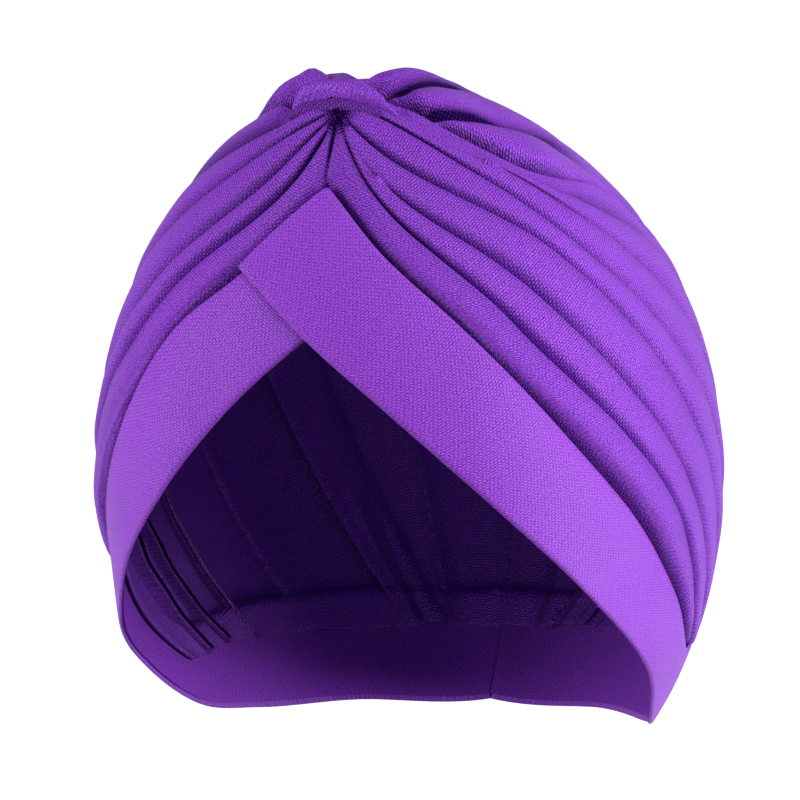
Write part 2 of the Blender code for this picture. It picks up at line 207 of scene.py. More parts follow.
LEFT_FOLDS = (
    Fold((2.0, 53.8), (0.9, 44), (-25, 21.5), (-68, -17), (-100, -37), TUCKED, -0.2, 0.6, 2, dark=0.0),
    Fold((2.0, 54.4), (-3.2, 48.3), (-31, 31), (-78, -7), (-108, -36), -7.4, 0.2, 0.48, 4),
    Fold((2.0, 55.2), (-8, 48.8), (-36, 34), (-86, -3), (-116, -34), -6.6, 0.0, 0.48, 4),
    Fold((1.8, 56.2), (-9.8, 52.8), (-36, 44), (-90, 11), (-126, -32.5), -4.4, 0.0, 0.48, 4),
    Fold((-0.4, 58.2), (-11, 55.5), (-38, 52), (-100, 27), (-142, -30.5), -2.8, 0.0, 0.66, 2.4),
    Fold((-6, 60), (-16, 60), (-45, 61), (-112, 52), (-168, -28.5), -2.6),
)
RIGHT_CROWN = (
    Fold((7, 60.4), (20, 55.6), (43, 49.6), (90, 50), (161, -29), TUCKED, 0.0, 0.46, 3, ROLL_LOW, 0.04),
    Fold((6.6, 61.1), (18.5, 58.6), (42, 61.8), (90, 62), (166, -29), -1.8, 0.2, 0.3, 3, ROLL_MIDDLE),
    Fold(
        (4.8, 61.7), (12.2, 61.8), (28, 70.5), (90, 79), (172, -29),
        -1.4, 0.2, 0.34, 2.6, ROLL_HIGH, dark=0.6,
    ),
    Fold((0, 60.6), (0, 68), (0, 82), (180, 56), (180, -29), -1.2),
)
LEFT_CROWN = (
    Fold((-5, 59.6), (-9, 57), (-40, 56), (-106, 45), (-161, -29), TUCKED, -0.6, 0.6, 2.4, LUMP, 0.1),
    Fold((-3, 60.6), (-11.5, 68), (-45, 75), (-140, 62), (-170, -29), -2.6, -0.6, 0.36, 2.6),
    Fold((0, 60.6), (0, 68), (0, 82), (180, 56), (180, -29), -1.2),
)

# The directions of the band's hem and top edge, from the nape to the front
BandRow = namedtuple("BandRow", "hem top")
RIGHT_BAND = (
    BandRow((180, -42), (180, -23)),
    BandRow((150, -43), (150, -24)),
    BandRow((122, -45.5), (122, -27.5)),
    BandRow((100, -45), (101, -31)),
    BandRow((76, -33.5), (82, -20)),
    BandRow((50, -16.5), (62, -4)),
    BandRow((32.5, -2.5), (44, 11)),
    BandRow((14.5, 13), (26, 26.5)),
    BandRow((0.5, 24), (13, 36.5)),
    BandRow((-13.5, 34.5), (2.3, 45.5)),
)
LEFT_BAND = (
    BandRow((-180, -42), (-180, -23)),
    BandRow((-150, -43), (-150, -24)),
    BandRow((-122, -45.5), (-122, -27.5)),
    BandRow((-100, -45), (-101, -31)),
    BandRow((-74, -34), (-80, -20)),
    BandRow((-46, -17), (-58, -4)),
    BandRow((-29, -3), (-41.5, 10)),
    BandRow((-14.5, 12.5), (-26, 25.5)),
    BandRow((-1, 23.5), (-12, 35.5)),
    BandRow((5, 27.5), (-5, 40.5)),
)

# The directions of the knot strap's lower and upper edge, from left to right. Its edges lie at
# STRAP_EDGE_LIFT, and its cloth rises above them by up to STRAP_RISE, fully from STRAP_FULL of its length.
# Across it, the roll takes up the share STRAP_ROLL and has ROLL_HEIGHT of the full rise. The face starts at
# STRAP_GROOVE, is highest at FACE_CREST of its own width, and falls by FACE_FALL to the upper edge.
StrapRow = namedtuple("StrapRow", "low top")
STRAP_ROWS = (
    StrapRow((-12.4, 56.9), (-12.4, 60.2)),
    StrapRow((-7.5, 56.4), (-7.8, 61.4)),
    StrapRow((-1, 56.1), (-1, 62.8)),
    StrapRow((4, 56.1), (4.5, 63)),
    StrapRow((8.5, 56.2), (9.6, 61.2)),
    StrapRow((12.5, 56.2), (13.2, 58.9)),
    StrapRow((16.4, 55.8), (16.8, 56.8)),
)
STRAP_EDGE_LIFT = -1.5 * MM
STRAP_RISE = 5.6 * MM
STRAP_FULL = 0.16
STRAP_ROLL = 0.4
ROLL_HEIGHT = 0.5
STRAP_GROOVE = 0.3
FACE_CREST = 0.35
FACE_FALL = 0.8
STRAP_LENGTHWAYS = 120
STRAP_COLUMNS = 48

# How dark the painted shade is on the strap's roll and at its upper edge, where the crown comes out from
# under it, and the shares of its width over which each fades
ROLL_DARK = 0.55
ROLL_DARK_FADES = (0.28, 0.37)
UPPER_DARK = 0.9
UPPER_DARK_FADES = (0.92, 1)

# The real jersey's ribs and stitches are about 0.6 mm apart, too fine to show, so they are drawn coarser.
# Their rows drift a little every few millimetres, the yarn is fuzzy and its shade has large soft clouds.
RIB = 0.8 * MM
STITCH = 0.7 * MM
ROW_DRIFT = 0.8 * MM
DRIFT_SIZE = 10 / 3 * MM
FUZZ_SIZE = 0.5 * MM
CLOUD_SIZE = 25 * MM

# How lit the yarn is: by the height of its stitches, by the clouds, and a base. Full painted shade takes the
# share PAINTED_SHADE_DEPTH of that away, less up to HIGH_KEEPS where the stitches are high. The sheen and
# the specular level go with that light, painted shade included.
HEIGHT_LIGHT = 0.8
CLOUD_LIGHT = 0.1
BASE_LIGHT = 0.32
PAINTED_SHADE_DEPTH = 1.15
HIGH_KEEPS = 0.3
SHEEN = 0.26


def ray(azimuth, elevation):
    """A direction from the form's middle. Azimuth 0 points along -Y, to the front, and 90 along +X."""
    azimuth, elevation = np.radians(azimuth), np.radians(elevation)
    level = np.cos(elevation)
    return np.array([np.sin(azimuth) * level, -np.cos(azimuth) * level, np.sin(elevation)])


def unit(rays):
    return rays / np.linalg.norm(rays, axis=-1, keepdims=True)


def azimuth_of(rays):
    return np.degrees(np.arctan2(rays[..., 0], -rays[..., 1]))


def between(low, high, share):
    """Directions that lie these shares of the way from one edge to the other."""
    return unit((1 - share)[..., None] * low + share[..., None] * high)


def fade(value, start, end):
    """0 before start, 1 past end, and smooth between them."""
    share = np.clip((value - start) / (end - start), 0, 1)
    return share * share * (3 - 2 * share)


def form_reach(rays):
    """How far the form's surface lies from its middle in each direction."""
    x, y, z = rays[..., 0], rays[..., 1], rays[..., 2]
    level = np.hypot(x, y) + 1e-9
    to_brow = y < 0
    length = np.where(to_brow, BROW_REACH, NAPE_REACH)
    across, along = np.abs(x) / level / HALF_WIDTH, np.abs(y) / level / length
    plan = (across**PLAN_POWER + along**PLAN_POWER) ** (-1 / PLAN_POWER)
    end_power = np.where(to_brow, BROW_POWER, NAPE_POWER)
    above = SIDE_POWER + (end_power - SIDE_POWER) * (y / level) ** 2
    power = np.where(z > 0, above, LOWER_POWER)
    height = np.where(z > 0, CROWN_RISE, LOWER_DROP)
    reach = ((level / plan) ** power + (np.abs(z) / height) ** power) ** (-1 / power)
    turn = np.degrees(np.arccos(np.clip(rays @ ray(0, KNOT_ELEVATION), -1, 1)))
    return reach + GATHER_RISE * np.exp(-((turn / GATHER_SPREAD) ** 2)) + touched(rays)


def touched(rays):
    """How far the cloth is pressed in or pushed up at each direction."""
    total = np.zeros(rays.shape[:-1])
    for touch in TOUCHES:
        line = edge_line([touch.start, touch.end])
        off = np.degrees(np.arccos(np.clip((rays @ line.T).max(axis=-1), -1, 1)))
        total += touch.lift * MM * np.exp(-((off / touch.spread) ** 2))
    return total


def place(rays, lift):
    return FORM_MIDDLE + rays * (form_reach(rays) + lift)[..., None]


def sweep(stations, shares):
    """A smooth curve through directions, read at shares of its length."""
    knots = np.array([ray(*station) for station in stations])
    spans = np.linalg.norm(np.diff(knots, axis=0), axis=1)
    at = np.concatenate([[0], np.cumsum(spans)])
    slopes = np.gradient(knots, at, axis=0)
    fine = np.linspace(0, at[-1], 1600)
    step = np.clip(np.searchsorted(at, fine, side="right") - 1, 0, len(spans) - 1)
    t = ((fine - at[step]) / spans[step])[:, None]
    width = spans[step][:, None]
    curve = (
        (2 * t**3 - 3 * t**2 + 1) * knots[step]
        + (t**3 - 2 * t**2 + t) * width * slopes[step]
        + (3 * t**2 - 2 * t**3) * knots[step + 1]
        + (t**3 - t**2) * width * slopes[step + 1]
    )
    curve = unit(curve)
    run = np.concatenate([[0], np.cumsum(np.linalg.norm(np.diff(curve, axis=0), axis=1))])
    wanted = np.asarray(shares) * run[-1]
    return unit(np.stack([np.interp(wanted, run, curve[:, axis]) for axis in range(3)], axis=1))


def edge_line(stations):
    return sweep(stations, np.linspace(0, 1, 200))


def wander(number, shares):
    """A slow drift from -1 to 1 along a fold, so that no two folds are alike."""
    turns = 2 * np.pi * shares
    return (
        0.5 * np.sin(2.3 * turns + 1.7 * number)
        + 0.3 * np.sin(5.1 * turns + 2.9 * number + 0.6)
        + 0.2 * np.sin(9.7 * turns + 4.3 * number)
    )


def band_lift(rays):
    below = -np.degrees(np.arcsin(rays[..., 2]))
    flare = 1 - BAND_LOW_SHARE * fade(below, *BAND_LOW_FADE)
    return BAND_SIDE_LIFT * fade(np.abs(azimuth_of(rays)), *BAND_TURNS_IN) * flare


def lower_layer(rays):
    """How much deeper the band's left half lies where the right half laps over it."""
    azimuth = azimuth_of(rays)
    lapped = fade(azimuth, *LAP_STARTS) * (1 - fade(azimuth, *LAP_ENDS))
    return (BAND_CLOTH + LAYER_GAP) * lapped


def band_top(side):
    """The edge under which the pleats go in. At the front it follows the end of the right half."""
    if side > 0:
        return edge_line([row.top for row in RIGHT_BAND])
    lap = RIGHT_BAND[-1]
    return edge_line([row.top for row in LEFT_BAND[:-2]] + [lap.hem, lap.top])


def past_edge(edge, rays):
    """How many degrees each direction lies past an edge, on the side of the crown."""
    outward = np.cross(edge, np.gradient(edge, axis=0))
    outward = outward * np.sign(outward[:, 2].sum())
    flat = rays.reshape(-1, 3)
    nearness = flat @ edge.T
    nearest = nearness.argmax(axis=-1)
    side = np.sign((outward[nearest] * flat).sum(axis=-1))
    past = side * np.degrees(np.arccos(np.clip(nearness.max(axis=-1), -1, 1)))
    return past.reshape(rays.shape[:-1])


def cover_limit(edge, rays, under, clear, rise):
    """The highest that cloth may lie near an edge that covers it."""
    out = np.clip((past_edge(edge, rays) - clear) / rise, 0, 1)
    return under + COVER_HEIGHT * np.sin(out * np.pi / 2)


def below_band(side, rays):
    under = band_lift(rays) - lower_layer(rays) - BAND_CLOTH - LAYER_GAP
    return cover_limit(band_top(side), rays, under, *BAND_COVER)


def below_side_panel(folds, side, rays):
    last = folds[-1]
    panel = np.minimum(last.edge * MM, below_band(side, rays))
    edge = edge_line([last.start, last.near, last.front, last.side, last.rear])
    return cover_limit(edge, rays, panel - SOLID_JERSEY - LAYER_GAP, *PLEAT_COVER)


def tucked(lift, limit, painted_shade, dark):
    """The lift kept under its limit, and the painted shade with the painted shadow added where cloth is
    pulled in under an edge.
    """
    edge_shadow = dark * fade(lift - limit, *EDGE_SHADOW_HEIGHTS)
    lower = (lift + limit - np.sqrt((lift - limit) ** 2 + COVER_SOFT**2)) / 2
    return lower, np.maximum(painted_shade, edge_shadow)


def along_shares():
    first = NEAR_KNOT * np.linspace(0, 1, ROWS_NEAR_KNOT) ** NEAR_KNOT_BIAS
    return np.concatenate([first, np.linspace(NEAR_KNOT, 1, ROWS_ALONG - ROWS_NEAR_KNOT + 1)[1:]])


def crest_lifts(folds, shares, seed):
    crests = []
    for number, fold in enumerate(folds):
        bunch = fold.bunch
        bunched = fade(shares, bunch.start, bunch.full) * (1 - fade(shares, bunch.falls, bunch.gone))
        uneven = CREST_UNEVEN * wander(seed + number, shares) * fade(shares, *UNEVEN_FROM)
        crests.append((fold.crest + bunch.height * bunched + uneven) * MM)
    return crests


def edge_lifts(folds, edges, widths, crests, shares, tucked_lift, seed):
    """The lift along each crease. It is no deeper than its narrower pleat is wide, raised between bunched
    folds, and hardly there where the crease hasn't opened yet."""
    lifts = []
    for number, (fold, rays) in enumerate(zip(folds, edges)):
        if fold.edge is TUCKED:
            lifts.append(tucked_lift(rays))
            continue
        below = crests[number - 1]
        deep = fold.edge * MM * (1 + CREASE_UNEVEN * wander(seed + 7 + number, shares))
        if number < len(folds) - 1:
            deep = deep + RAISED_CREASE * np.maximum(below, 0)
        deep = np.maximum(deep, below - np.min(widths[number - 1 : number + 1], axis=0))
        shut = below - SHUT_CREASE
        lifts.append(np.minimum(shut + (deep - shut) * fade(shares, *fold.opens), shut))
    return lifts


def flank_columns(fold, low, crest, width, ends):
    """The steps from a fold's crease up its flank to its crest and on. Each gives its share of the way
    across, its lift, how far past the crest it is, and the painted shade on its flank and along its crease's
    line."""
    deep = np.clip((crest - low) / np.minimum(DEEP_CREASE, DEEP_SHARE * width + LEAST_DEPTH), 0, 1)
    for step in np.linspace(0, 1, FLANK_COLUMNS) ** FLANK_BIAS:
        climb = np.clip((step - fold.rise_from) / (fold.crest_at - fold.rise_from), 0, 1)
        rise = 1 - (1 - climb) ** fold.steep
        past_crest = np.clip((step - fold.crest_at) / (1 - fold.crest_at), 0, 1)
        # Painted shade on the flank and along the crease's line
        flank = fold.dark * deep * (1 - rise)
        crease = deep * (1 - fade(step * ends * width, *CREASE_LINE))
        yield step * ends, low + (crest - low) * rise, past_crest, flank, crease


def pleat_columns(fold, low, high, crest, width, shares, sag):
    """A pleat: a steep flank, a face that sags a little, and a lip that rolls under to the next crease."""
    depth = np.maximum(crest - high, 0)
    opened = fade(depth, 0, FULL_LIP)
    lip_share = np.minimum(LIP_REACH / np.maximum(width, 0.01 * MM), LIP_SHARE)
    face_angle, last_angle = LIP_ANGLES[0], LIP_ANGLES[-1]
    middle = 1 - math.cos(last_angle) * lip_share
    ends = middle + math.cos(face_angle) * lip_share
    # Painted shade: black at the knot and a little dark round it
    at_knot = np.maximum(GATHER_DARK * (1 - fade(shares, *GATHER_FADES)), 1 - fade(shares, *KNOT_FADES))
    near_power, far_power = FLANK_POWERS
    power = near_power + (far_power - near_power) * fade(shares, *FLANK_FADES)
    for share, lift, past_crest, flank, crease in flank_columns(fold, low, crest, width, ends):
        # Painted shade on the flank, along the crease and past the crest
        painted_shade = np.maximum(np.maximum(flank**power, crease), PAST_CREST_DARK * past_crest**3)
        yield share, lift - sag * depth * past_crest**2, np.maximum(painted_shade, at_knot)
    shoulder = crest - sag * depth
    drop = (shoulder - high) / (math.sin(face_angle) - math.sin(last_angle))
    for step, angle in enumerate(LIP_ANGLES[1:-1], 1):
        straight = ends + (1 - ends) * step / (len(LIP_ANGLES) - 1)
        share = straight + (middle + math.cos(angle) * lip_share - straight) * opened
        # Painted shade under the lip where it rolls under
        under = LIP_DARK * opened * max(LIP_DARK_ABOVE - math.sin(angle), 0) * fade(shares, *LIP_FADES)
        lift = shoulder - drop * (math.sin(face_angle) - math.sin(angle))
        yield share, lift, np.maximum(under, at_knot)


def loose_columns(fold, low, high, crest, width, shares):
    """A loose fold: a soft roll without a lip, which sinks slowly towards the next crease."""
    depth = np.maximum(crest - high, 0)
    # Painted shade on the crown's flanks, less towards the back
    nearer = 1 - CROWN_CLEARS * fade(shares, *CROWN_FADES)
    for share, lift, past_crest, flank, _ in flank_columns(fold, low, crest, width, np.ones(len(shares))):
        yield share, lift - depth * past_crest**LOOSE_FALL, nearer * np.minimum(CROWN_FLANK_DARK * flank, 1)


def gathered_cloth(folds, tucked_lift, start_lift, seed, sag=None):
    """Folds that fan out from the knot, as directions, lifts and painted shade by row and column, and the
    column at which each fold starts. They are pleats, or loose folds where no sag is given."""
    shares = along_shares()
    edges = []
    for fold in folds:
        edges.append(sweep((fold.start, fold.near, fold.front, fold.side, fold.rear), shares))
    flat = [place(edge, np.zeros(len(edge))) for edge in edges]
    widths = [np.linalg.norm(low - high, axis=1) for low, high in zip(flat, flat[1:])]
    crests = crest_lifts(folds, shares, seed)
    lifts = edge_lifts(folds, edges, widths, crests, shares, tucked_lift, seed)
    rays, lift, painted_shade, starts = [], [], [], []
    for number, fold in enumerate(folds[:-1]):
        starts.append(len(rays))
        sizes = (fold, lifts[number], lifts[number + 1], crests[number], widths[number], shares)
        columns = loose_columns(*sizes) if sag is None else pleat_columns(*sizes, sag)
        for share, column_lift, column_shade in columns:
            rays.append(between(edges[number], edges[number + 1], share))
            lift.append(column_lift)
            painted_shade.append(column_shade)
    starts.append(len(rays))
    rays.append(edges[-1])
    lift.append(lifts[-1])
    # Painted shade: the last edge of the side pleats is fully dark
    painted_shade.append(np.full(len(shares), 0.0 if sag is None else 1.0))
    lift = np.stack(lift, axis=1)
    lift = start_lift + (lift - start_lift) * fade(shares, 0, PAST_KNOT)[:, None]
    return np.stack(rays, axis=1), lift, np.stack(painted_shade, axis=1), starts


def side_panel(folds, side):
    """The pleats of one side. Side is 1 on the right and -1 on the left."""
    rays, lift, painted_shade, starts = gathered_cloth(
        folds, lambda edge: np.minimum(below_band(side, edge), MARGIN_LIFT), 0.0, 3 + side, CREST_SAG[side]
    )
    # Painted shade along the crease under the band's top edge
    line = BAND_LINE_DARK * (1 - fade(past_edge(band_top(side), rays), *BAND_LINE))
    return rays, *tucked(lift, below_band(side, rays), np.maximum(painted_shade, line), PLEAT_EDGE_SHADOW), starts


def crown_panel():
    """The two halves of the crown, each from its side up to the middle, joined there into one sheet."""
    start_lift = LEFT_FOLDS[-1].edge * MM - SOLID_JERSEY - LAYER_GAP
    halves = []
    for side, folds, panel in ((-1, LEFT_CROWN, LEFT_FOLDS), (1, RIGHT_CROWN, RIGHT_FOLDS)):
        rays, lift, painted_shade, starts = gathered_cloth(
            folds, lambda edge: np.full(len(edge), start_lift), start_lift, 11 + side
        )
        limit = np.minimum(below_side_panel(panel, side, rays), below_band(side, rays))
        halves.append((rays, *tucked(lift, limit, painted_shade, CROWN_EDGE_SHADOW), starts))
    left, right = halves
    joined = [np.concatenate([low, high[:, -2::-1]], axis=1) for low, high in zip(left[:3], right[:3])]
    last_column = joined[1].shape[1] - 1
    return *joined, sorted({*left[3], *(last_column - start for start in right[3])})


def band(rows, lapped_over):
    """One half of the folded band, with a soft round fold at the hem and at its top edge."""
    shares = np.linspace(0, 1, BAND_ROWS)
    hem = sweep([row.hem for row in rows], shares)
    top = sweep([row.top for row in rows], shares)
    across = 0.5 - 0.5 * np.cos(np.linspace(0, 1, BAND_COLUMNS) * np.pi)
    rays = between(hem[:, None], top[:, None], across[None])
    lift = band_lift(rays) - (lower_layer(rays) if lapped_over else 0)
    flat = place(rays, lift)
    width = np.linalg.norm(flat[:, 0] - flat[:, -1], axis=1)[:, None]
    for inwards in (across, 1 - across):
        short_of_face = 1 - np.clip(inwards[None] * width / FOLD_WIDTH, 0, 1)
        lift = lift - FOLD_DROP * (1 - np.sqrt(1 - short_of_face**2))
    lift = lift + BAND_UNEVEN * wander(2, shares)[:, None] * np.sin(across * np.pi)[None]
    return rays, lift, 0 * lift, [0, BAND_COLUMNS - 1]


def knot_strap():
    """The strap over the gathers: a slim roll along its lower edge and a broad soft face above it. Its left
    end turns down steeply and its right end narrows and sinks in beside the pleats."""
    along = np.linspace(0, 1, STRAP_LENGTHWAYS)
    across = np.linspace(0, 1, STRAP_COLUMNS)
    low = sweep([row.low for row in STRAP_ROWS], along)
    top = sweep([row.top for row in STRAP_ROWS], along)
    rays = between(low[:, None], top[:, None], across[None])
    roll = ROLL_HEIGHT * np.sin(np.pi * np.clip(across / STRAP_ROLL, 0, 1)) ** 0.5
    face = np.clip((across - STRAP_GROOVE) / (1 - STRAP_GROOVE), 0, 1)
    rising = 1 - (1 - np.clip(face / FACE_CREST, 0, 1)) ** 3
    falling = 1 - FACE_FALL * np.clip((face - FACE_CREST) / (1 - FACE_CREST), 0, 1) ** 2
    full = np.sin(np.pi / 2 * np.clip(along / STRAP_FULL, 0, 1)) ** 0.7 * (1 - along**4)
    raised = full[:, None] * np.maximum(roll, rising * falling)[None]
    lift = STRAP_EDGE_LIFT + STRAP_RISE * raised - touched(rays)
    # Painted shade under the roll and along the upper edge, where the crown comes out from under it
    shadow = np.maximum(
        ROLL_DARK * (1 - fade(across, *ROLL_DARK_FADES)), UPPER_DARK * fade(across, *UPPER_DARK_FADES)
    )
    return rays, lift, shadow[None] + 0 * lift, [0, STRAP_COLUMNS - 1]


def map_knit(mesh, points, row, column, starts, scale):
    """Lays the knit over the cloth in metres, along each fold and across it from its own crease."""
    columns = points.shape[1]
    along = np.linalg.norm(np.diff(points, axis=0), axis=2)
    along = np.concatenate([np.zeros((1, columns)), np.cumsum(along, axis=0)])
    steps = np.linalg.norm(np.diff(points, axis=1), axis=2)
    across = np.zeros(points.shape[:2])
    for start, end in zip(starts, starts[1:]):
        across[:, start + 1 : end] = np.cumsum(steps[:, start : end - 1], axis=1)
    corners = np.empty(len(mesh.loops), dtype=int)
    mesh.loops.foreach_get("vertex_index", corners)
    corner_rows = row[corners].reshape(-1, 4)
    corner_columns = column[corners].reshape(-1, 4)
    left = corner_columns.min(axis=1)
    ends_fold = np.isin(left + 1, starts)[:, None] & (corner_columns > left[:, None])
    before = np.maximum(corner_columns - 1, 0)
    fold_end = across[corner_rows, before] + steps[corner_rows, before]
    crosswise = np.where(ends_fold, fold_end, across[corner_rows, corner_columns])
    knit = np.stack([along[corner_rows, corner_columns], crosswise], axis=-1) / scale
    mesh.uv_layers[0].name = "knit"
    mesh.uv_layers[0].data.foreach_set("uv", knit.ravel())


def cloth_piece(name, rays, lift, painted_shade, starts, thickness, material, knit_scale):
    """A grid with one square for each step of the cloth. Its points are moved to their places and it gets
    its knit and its thickness, which goes inwards. The outer wall carries the painted shade, and the inner
    wall does so near the knot alone, where it shows between the gathers."""
    rows, columns = lift.shape
    bpy.ops.object.select_all(action="DESELECT")
    bpy.ops.mesh.primitive_grid_add(x_subdivisions=columns - 1, y_subdivisions=rows - 1, size=2)
    piece = bpy.context.object
    piece.name = piece.data.name = name
    mesh = piece.data
    flat = np.empty(len(mesh.vertices) * 3)
    mesh.vertices.foreach_get("co", flat)
    flat = flat.reshape(-1, 3)
    column = np.rint((flat[:, 0] + 1) / 2 * (columns - 1)).astype(int)
    row = np.rint((flat[:, 1] + 1) / 2 * (rows - 1)).astype(int)
    points = place(rays, lift)
    mesh.vertices.foreach_set("co", points[row, column].ravel())
    map_knit(mesh, points, row, column, starts, knit_scale)
    # The stretched attribute holds painted shade: in the creases, on the flanks, under the lips and edges,
    # and at the knot
    mesh.attributes.new("stretched", "FLOAT", "POINT")
    mesh.update()
    normals = np.empty(len(mesh.polygons) * 3)
    mesh.polygons.foreach_get("normal", normals)
    centres = np.empty(len(mesh.polygons) * 3)
    mesh.polygons.foreach_get("center", centres)
    outward = centres.reshape(-1, 3) - FORM_MIDDLE
    if (normals.reshape(-1, 3) * outward).sum() < 0:
        mesh.flip_normals()
    wall = piece.modifiers.new("jersey", "SOLIDIFY")
    wall.thickness = thickness
    wall.offset = -1
    bpy.ops.object.modifier_apply(modifier=wall.name)
    outer = painted_shade[row, column]
    inner = np.where(row < ROWS_NEAR_KNOT // 2, outer, 0)
    both = np.concatenate([outer, inner]).astype(np.float32)
    mesh.attributes["stretched"].data.foreach_set("value", both)
    bpy.ops.object.shade_smooth()
    mesh.materials.clear()
    mesh.materials.append(material)
    return piece


def linear(hex_colour):
    """The hex colour's red, green and blue as linear light."""
    parts = [int(hex_colour[start : start + 2], 16) / 255 for start in (0, 2, 4)]
    light = [part / 12.92 if part <= 0.04045 else ((part + 0.055) / 1.055) ** 2.4 for part in parts]
    return (*light, 1.0)


def node(tree, kind, inputs=None, **settings):
    """Adds one node. Each input gets a value or a socket to link, and settings are its own properties."""
    made = tree.nodes.new(kind)
    for key, value in settings.items():
        setattr(made, key, value)
    for socket, value in (inputs or {}).items():
        if isinstance(value, bpy.types.NodeSocket):
            tree.links.new(value, made.inputs[socket])
        else:
            made.inputs[socket].default_value = value
    return made


def knitted_jersey(name, yarn, gap_and_shade, relief, fuzziness):
    """Matt knitted polyester jersey. Fine ribs of stitches cross each pleat, and its fibres give it a faint
    sheen. The dark bluish gap colour shows between the stitches, and it also serves as painted shade: the
    yarn is darkened towards it as far as the stretched attribute says, in creases, on flanks, under edges
    and at the knot."""
    material = bpy.data.materials.new(name)
    material.use_nodes = True
    tree = material.node_tree
    shader = tree.nodes["Principled BSDF"]
    knit = node(tree, "ShaderNodeUVMap", uv_map="knit").outputs["UV"]
    # The stretched attribute holds the painted shade of each piece
    stretched = node(tree, "ShaderNodeAttribute", attribute_name="stretched").outputs["Fac"]

    # The rows of stitches drift a little, and ribs and stitches are two waves that cross
    drift = node(tree, "ShaderNodeTexNoise", {"Vector": knit, "Scale": 1 / DRIFT_SIZE, "Detail": 2.0})
    shifts = {0: drift.outputs["Color"], 1: (ROW_DRIFT, ROW_DRIFT, 0.0), 2: knit}
    shifted = node(tree, "ShaderNodeVectorMath", shifts, operation="MULTIPLY_ADD")
    split = node(tree, "ShaderNodeSeparateXYZ", {0: shifted.outputs[0]})
    waves = []
    for axis, spacing in (("X", RIB), ("Y", STITCH)):
        turns = {0: split.outputs[axis], 1: math.pi / spacing}
        turns = node(tree, "ShaderNodeMath", turns, operation="MULTIPLY").outputs[0]
        waves.append(node(tree, "ShaderNodeMath", {0: turns}, operation="COSINE").outputs[0])
    along, across = waves
    ribs = node(tree, "ShaderNodeMath", {0: along, 1: along}, operation="MULTIPLY").outputs[0]
    stitches = node(tree, "ShaderNodeMath", {0: along, 1: across}, operation="MULTIPLY").outputs[0]
    both = node(tree, "ShaderNodeMath", {0: stitches, 1: 0.5, 2: ribs}, operation="MULTIPLY_ADD").outputs[0]
    height = node(tree, "ShaderNodeMapRange", {"Value": both, "From Min": -0.1, "From Max": 1.5}).outputs[0]

    # How lit the yarn is: high stitches, fine fuzz and a slow cloudiness, less where painted shade lies
    fuzz = {"Vector": knit, "Scale": 1 / FUZZ_SIZE, "Detail": 1.0}
    fuzz = node(tree, "ShaderNodeTexNoise", fuzz).outputs["Fac"]
    cloudy = {"Vector": knit, "Scale": 1 / CLOUD_SIZE, "Detail": 3.0}
    cloudy = node(tree, "ShaderNodeTexNoise", cloudy).outputs["Fac"]
    lit = {0: height, 1: HEIGHT_LIGHT, 2: BASE_LIGHT - fuzziness / 2}
    lit = node(tree, "ShaderNodeMath", lit, operation="MULTIPLY_ADD").outputs[0]
    lit = node(tree, "ShaderNodeMath", {0: fuzz, 1: fuzziness, 2: lit}, operation="MULTIPLY_ADD").outputs[0]
    lit = {0: cloudy, 1: CLOUD_LIGHT, 2: lit}
    lit = node(tree, "ShaderNodeMath", lit, operation="MULTIPLY_ADD", use_clamp=True).outputs[0]
    # Painted shade: the stretched attribute takes light away here, towards the dark gap colour
    opened = {0: height, 1: HIGH_KEEPS, 2: -PAINTED_SHADE_DEPTH}
    opened = node(tree, "ShaderNodeMath", opened, operation="MULTIPLY_ADD").outputs[0]
    kept = {0: opened, 1: stretched, 2: 1.0}
    kept = node(tree, "ShaderNodeMath", kept, operation="MULTIPLY_ADD", use_clamp=True).outputs[0]
    lit = node(tree, "ShaderNodeMath", {0: lit, 1: kept}, operation="MULTIPLY").outputs[0]

    colours = {"Factor": lit, 6: linear(gap_and_shade), 7: linear(yarn)}
    colour = node(tree, "ShaderNodeMix", colours, data_type="RGBA").outputs[2]
    bump = node(tree, "ShaderNodeBump", {"Height": height, "Strength": 1.0, "Distance": relief})
    sheen = node(tree, "ShaderNodeMath", {0: lit, 1: SHEEN}, operation="MULTIPLY").outputs[0]
    tree.links.new(colour, shader.inputs["Base Color"])
    tree.links.new(bump.outputs["Normal"], shader.inputs["Normal"])
    tree.links.new(sheen, shader.inputs["Sheen Weight"])
    tree.links.new(sheen, shader.inputs["Specular IOR Level"])
    shader.inputs["Roughness"].default_value = 0.5
    shader.inputs["Sheen Roughness"].default_value = 0.45
    shader.inputs["Sheen Tint"].default_value = linear("A25CF4")
    return material


def add_sweep():
    """A plain pale floor that curves up into a wall behind the turban."""
    half_width, half_length, bend_from, floor_height = 4.0, 3.5, 1.6, -0.3
    bpy.ops.object.select_all(action="DESELECT")
    bpy.ops.mesh.primitive_grid_add(x_subdivisions=1, y_subdivisions=60, size=2)
    floor = bpy.context.object
    floor.name = floor.data.name = "studio_sweep"
    for vert in floor.data.vertices:
        run = vert.co.y * half_length
        turn = min(max(run - bend_from, 0), math.pi / 2)
        up_wall = max(run - bend_from - math.pi / 2, 0)
        forward = min(run, bend_from) + math.sin(turn)
        vert.co = (vert.co.x * half_width, forward, floor_height + 1 - math.cos(turn) + up_wall)
    bpy.ops.object.shade_smooth()
    # Matt white paper that gives off a little light of its own, so that it stays white without hard shadows
    paper = bpy.data.materials.new("white studio paper, matt")
    paper.use_nodes = True
    surface = paper.node_tree.nodes["Principled BSDF"].inputs
    surface["Base Color"].default_value = linear("FAFAFA")
    surface["Roughness"].default_value = 0.95
    surface["Emission Color"].default_value = (1, 1, 1, 1)
    surface["Emission Strength"].default_value = 0.85
    floor.data.materials.append(paper)
    floor.visible_diffuse = False


